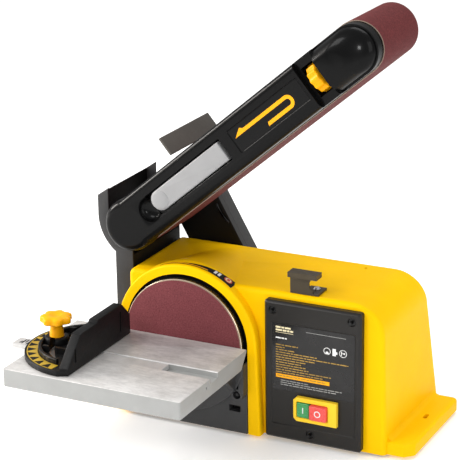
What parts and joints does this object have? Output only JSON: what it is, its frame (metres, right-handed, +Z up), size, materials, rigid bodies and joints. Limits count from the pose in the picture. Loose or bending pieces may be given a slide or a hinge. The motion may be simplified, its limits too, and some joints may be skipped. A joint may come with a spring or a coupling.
{
  "type": "belt disc sander",
  "caption": "Bench sander with a vertical disc, tilting table and miter gauge, and a belt arm that tilts above the motor casing.",
  "frame": {"origin": "centre of the outline at bench level, on the plane the rubber feet stand on", "axes": "+X to the right as seen from the disc side, +Y to the back, away from the disc's face, +Z up"},
  "size_m": [0.451, 0.36, 0.503],
  "materials": {
    "yellow_paint": "satin powder-coated yellow",
    "yellow_plastic": "satin yellow plastic",
    "black_plastic": "satin black plastic",
    "dark_panel": "dark matte plate",
    "dark_casting": "dark fine-textured paint",
    "dark_sheet": "dark grey-brown coated sheet steel",
    "grey_plastic": "light grey plastic",
    "aluminium": "machined",
    "steel": "zinc plated",
    "abrasive": "maroon abrasive grain on cloth",
    "rubber": "matte",
    "motor_paint": "dark grey paint",
    "green_button": "gloss green",
    "red_button": "gloss red",
    "scale_yellow": "printed yellow plate"
  },
  "bodies": {
    "base": {"base_housing": "yellow_paint", "base_plate": "dark_sheet", "foot_front_left": "rubber", "foot_front_right": "rubber", "foot_rear_left": "rubber", "foot_rear_right": "rubber", "disc_guard": "dark_casting", "guard_screw_left": "black_plastic", "guard_screw_right": "black_plastic", "motor_can": "motor_paint", "motor_bearing_front": "steel", "motor_bearing_rear": "steel", "capacitor": "black_plastic", "drive_belt": "rubber", "arm_bracket": "dark_casting", "drum_bearing": "steel", "pulley_cover": "black_plastic", "dust_chute": "dark_casting", "rest_hook": "dark_sheet", "rest_hook_screw": "steel", "cable_gland": "black_plastic", "table_pivot_bolt_left": "steel", "table_pivot_bolt_right": "steel", "switch_panel": "dark_panel", "panel_screw_left": "steel", "panel_screw_right": "steel", "panel_screw_bottom": "steel", "switch_bezel": "yellow_plastic", "switch_body": "black_plastic"},
    "rotor": {"motor_rotor": "steel", "motor_fan": "black_plastic", "disc_plate": "aluminium", "abrasive_disc": "abrasive", "drive_pulley": "steel"},
    "drum": {"drive_drum": "aluminium", "driven_pulley": "steel"},
    "arm": {"arm_frame": "dark_casting", "platen": "steel", "arm_cover": "black_plastic", "sanding_belt": "abrasive", "work_rest": "dark_sheet", "rest_screw_upper": "steel", "rest_screw_lower": "steel", "arm_lock_screw": "steel", "tension_lever_pin": "steel", "tension_spring": "steel"},
    "idler_carriage": {"idler_fork": "dark_sheet", "idler_axle": "steel"},
    "idler": {"idler_drum": "aluminium"},
    "lever": {"tension_lever": "grey_plastic"},
    "tracking": {"tracking_knob": "yellow_plastic"},
    "table": {"table": "aluminium"},
    "table_lock": {"table_lock_knob": "black_plastic"},
    "miter_slide": {"miter_bar": "aluminium"},
    "miter_gauge": {"miter_head": "black_plastic", "miter_scale": "scale_yellow"},
    "miter_clamp": {"miter_knob": "yellow_plastic"},
    "start_button": {"green_button": "green_button"},
    "stop_button": {"red_button": "red_button"}
  },
  "joints": [
    {"name": "arm_tilt", "type": "hinge", "parent": "base", "child": "arm", "pos_m": [-0.1245, 0.13, 0.24], "axis": [0, -1, 0], "range_deg": [-40, 50]},
    {"name": "motor_spin", "type": "hinge", "parent": "base", "child": "rotor", "pos_m": [-0.0515, 0, 0.111], "axis": [0, 1, 0], "continuous": true},
    {"name": "drum_spin", "type": "hinge", "parent": "base", "child": "drum", "pos_m": [-0.1245, 0.07, 0.24], "axis": [0, 1, 0], "continuous": true},
    {"name": "tension_lever_swing", "type": "hinge", "parent": "arm", "child": "lever", "pos_m": [-0.00193, -0.0045, 0.34285], "axis": [-0.6428, 0, 0.766], "range_deg": [0, 90]},
    {"name": "idler_slide", "type": "slide", "parent": "arm", "child": "idler_carriage", "axis": [0.766, 0, 0.6428], "range_m": [-0.006, 0], "stiffness_N_per_m": 2000, "springref_m": 0.008, "deforming": ["tension_spring"]},
    {"name": "idler_spin", "type": "hinge", "parent": "idler_carriage", "child": "idler", "pos_m": [0.15281, 0.07, 0.47269], "axis": [0, 1, 0], "continuous": true},
    {"name": "tracking_knob_spin", "type": "hinge", "parent": "arm", "child": "tracking", "pos_m": [0.10876, 0.008, 0.43573], "axis": [0.766, 0, 0.6428], "range_deg": [-180, 180]},
    {"name": "table_tilt", "type": "hinge", "parent": "base", "child": "table", "pos_m": [0, -0.0405, 0.101], "axis": [1, 0, 0], "range_deg": [0, 45]},
    {"name": "table_lock_spin", "type": "hinge", "parent": "base", "child": "table_lock", "pos_m": [-0.1635, -0.05487, 0.07019], "axis": [1, 0, 0], "range_deg": [-180, 180]},
    {"name": "miter_bar_slide", "type": "slide", "parent": "table", "child": "miter_slide", "axis": [1, 0, 0], "range_m": [-0.06, 0.13]},
    {"name": "miter_swivel", "type": "hinge", "parent": "miter_slide", "child": "miter_gauge", "pos_m": [-0.1245, -0.099, 0.118], "axis": [0, 0, 1], "range_deg": [-60, 60]},
    {"name": "miter_knob_spin", "type": "hinge", "parent": "miter_slide", "child": "miter_clamp", "pos_m": [-0.1695, -0.099, 0.15], "axis": [0, 0, 1], "range_deg": [-180, 180]},
    {"name": "start_press", "type": "slide", "parent": "base", "child": "start_button", "axis": [0, 1, 0], "range_m": [0, 0.003], "stiffness_N_per_m": 300, "springref_m": -0.001},
    {"name": "stop_press", "type": "slide", "parent": "base", "child": "stop_button", "axis": [0, 1, 0], "range_m": [0, 0.003], "stiffness_N_per_m": 300, "springref_m": -0.001}
  ],
  "couplings": [
    {"joint": "drum_spin", "follows": "motor_spin", "ratio": 0.90909},
    {"joint": "idler_spin", "follows": "motor_spin", "ratio": 0.90909},
    {"joint": "tension_lever_swing", "follows": "idler_slide", "rad_per_m": -261.79}
  ]
}
